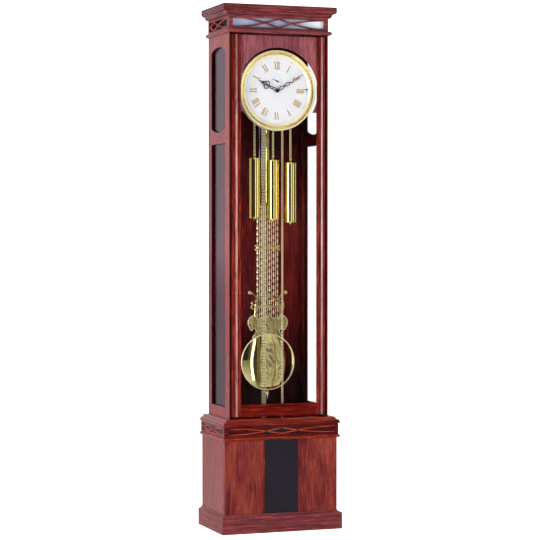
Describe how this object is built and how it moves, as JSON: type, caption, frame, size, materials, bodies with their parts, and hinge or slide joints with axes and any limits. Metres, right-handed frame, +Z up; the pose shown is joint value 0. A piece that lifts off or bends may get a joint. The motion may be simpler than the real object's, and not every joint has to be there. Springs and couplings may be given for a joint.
{
  "type": "longcase clock",
  "caption": "Free-standing longcase clock in gloss mahogany with a full-height glazed door, round dial, brass weights on chains and a lyre pendulum.",
  "frame": {"origin": "centre of the footprint on the floor", "axes": "+Z up, front towards -Y, flat back towards +Y, +X to the viewer's right from the front"},
  "size_m": [0.497, 0.305, 2.05],
  "materials": {
    "mahogany": "high gloss red-brown mahogany lacquer",
    "figured_mahogany": "high gloss figured mahogany veneer",
    "dark_board": "dark mahogany stained board",
    "black_panel": "black gloss lacquer",
    "clear_glass": "clear float glass",
    "frosted_glass": "pale satin glass",
    "polished_brass": "polished and lacquered brass",
    "brushed_brass": "brushed and engraved brass",
    "chain_brass": "brass link chain",
    "dial_white": "satin white painted dial",
    "black_hands": "black painted steel",
    "chime_steel": "blued chime rods on an iron block"
  },
  "bodies": {
    "case": {"plinth": "mahogany", "base_side_left": "mahogany", "base_side_right": "mahogany", "base_floor": "dark_board", "base_panel_left": "figured_mahogany", "base_panel_right": "figured_mahogany", "base_panel_black": "black_panel", "base_bead": "mahogany", "base_fretwork": "mahogany", "base_top": "mahogany", "base_back": "dark_board", "trunk_side_left": "mahogany", "trunk_side_right": "mahogany", "side_glass_lower_left": "clear_glass", "side_glass_lower_right": "clear_glass", "side_glass_upper_left": "clear_glass", "side_glass_upper_right": "clear_glass", "back_panel": "dark_board", "seatboard": "dark_board", "hood_moulding": "mahogany", "hood_fretwork": "mahogany", "hood_pane": "frosted_glass", "cornice": "mahogany", "case_pivots": "polished_brass", "movement_plate_front": "polished_brass", "movement_plate_back": "polished_brass", "movement_pillars": "polished_brass", "suspension_cock": "polished_brass", "dial_bezel": "polished_brass", "dial": "dial_white", "chime_set": "chime_steel"},
    "door": {"door_stile_left": "mahogany", "door_stile_right": "mahogany", "door_rail": "mahogany", "door_head": "mahogany", "door_glass": "clear_glass", "door_pivot_arms": "polished_brass"},
    "minute_hand": {"minute_hand": "black_hands"},
    "hour_hand": {"hour_hand": "black_hands"},
    "second_hand": {"second_hand": "black_hands"},
    "strike_selector": {"selector_lever": "black_hands"},
    "pendulum": {"pendulum_rods": "polished_brass", "pendulum_lyre": "brushed_brass", "pendulum_bob": "polished_brass", "rating_nut": "polished_brass"},
    "weight_left": {"weight_left": "polished_brass", "chain_weight_left": "chain_brass"},
    "chain_end_left": {"chain_free_left": "chain_brass", "chain_end_left": "chain_brass"},
    "chain_wheel_left": {"chain_wheel_left": "polished_brass"},
    "weight_centre": {"weight_centre": "polished_brass", "chain_weight_centre": "chain_brass"},
    "chain_end_centre": {"chain_free_centre": "chain_brass", "chain_end_centre": "chain_brass"},
    "chain_wheel_centre": {"chain_wheel_centre": "polished_brass"},
    "weight_right": {"weight_right": "polished_brass", "chain_weight_right": "chain_brass"},
    "chain_end_right": {"chain_free_right": "chain_brass", "chain_end_right": "chain_brass"},
    "chain_wheel_right": {"chain_wheel_right": "polished_brass"}
  },
  "joints": [
    {"name": "door_hinge", "type": "hinge", "parent": "case", "child": "door", "pos_m": [0.195, -0.1135, 1.19], "axis": [0, 0, 1], "range_deg": [0, 105]},
    {"name": "minute_hand_turn", "type": "hinge", "parent": "case", "child": "minute_hand", "pos_m": [0, -0.0895, 1.7213], "axis": [0, 1, 0], "continuous": true},
    {"name": "hour_hand_turn", "type": "hinge", "parent": "case", "child": "hour_hand", "pos_m": [0, -0.0865, 1.7213], "axis": [0, 1, 0], "continuous": true},
    {"name": "second_hand_turn", "type": "hinge", "parent": "case", "child": "second_hand", "pos_m": [0, -0.084, 1.7583], "axis": [0, 1, 0], "continuous": true},
    {"name": "selector_swing", "type": "hinge", "parent": "case", "child": "strike_selector", "pos_m": [0.084, -0.076, 1.7213], "axis": [0, 1, 0], "range_deg": [0, 19.6]},
    {"name": "pendulum_swing", "type": "hinge", "parent": "case", "child": "pendulum", "pos_m": [0, 0.0265, 1.69], "axis": [0, 1, 0], "range_deg": [-2.5, 2.5]},
    {"name": "weight_fall_left", "type": "slide", "parent": "case", "child": "weight_left", "axis": [0, 0, 1], "range_m": [-0.74, 0.08], "deforming": ["chain_weight_left"]},
    {"name": "chain_pull_left", "type": "slide", "parent": "case", "child": "chain_end_left", "axis": [0, 0, 1], "range_m": [-0.08, 0.74], "deforming": ["chain_free_left"]},
    {"name": "chain_wheel_turn_left", "type": "hinge", "parent": "case", "child": "chain_wheel_left", "pos_m": [-0.0575, -0.03, 1.694], "axis": [0, 1, 0], "continuous": true},
    {"name": "weight_fall_centre", "type": "slide", "parent": "case", "child": "weight_centre", "axis": [0, 0, 1], "range_m": [-0.74, 0.08], "deforming": ["chain_weight_centre"]},
    {"name": "chain_pull_centre", "type": "slide", "parent": "case", "child": "chain_end_centre", "axis": [0, 0, 1], "range_m": [-0.08, 0.74], "deforming": ["chain_free_centre"]},
    {"name": "chain_wheel_turn_centre", "type": "hinge", "parent": "case", "child": "chain_wheel_centre", "pos_m": [-0.014, -0.03, 1.694], "axis": [0, 1, 0], "continuous": true},
    {"name": "weight_fall_right", "type": "slide", "parent": "case", "child": "weight_right", "axis": [0, 0, 1], "range_m": [-0.74, 0.08], "deforming": ["chain_weight_right"]},
    {"name": "chain_pull_right", "type": "slide", "parent": "case", "child": "chain_end_right", "axis": [0, 0, 1], "range_m": [-0.08, 0.74], "deforming": ["chain_free_right"]},
    {"name": "chain_wheel_turn_right", "type": "hinge", "parent": "case", "child": "chain_wheel_right", "pos_m": [0.059, -0.03, 1.694], "axis": [0, 1, 0], "continuous": true}
  ],
  "couplings": [
    {"joint": "hour_hand_turn", "follows": "minute_hand_turn", "ratio": 0.083333},
    {"joint": "chain_pull_left", "follows": "weight_fall_left", "ratio": -1},
    {"joint": "chain_wheel_turn_left", "follows": "weight_fall_left", "rad_per_m": 58.824},
    {"joint": "chain_pull_centre", "follows": "weight_fall_centre", "ratio": -1},
    {"joint": "chain_wheel_turn_centre", "follows": "weight_fall_centre", "rad_per_m": -58.824},
    {"joint": "chain_pull_right", "follows": "weight_fall_right", "ratio": -1},
    {"joint": "chain_wheel_turn_right", "follows": "weight_fall_right", "rad_per_m": -58.824}
  ]
}
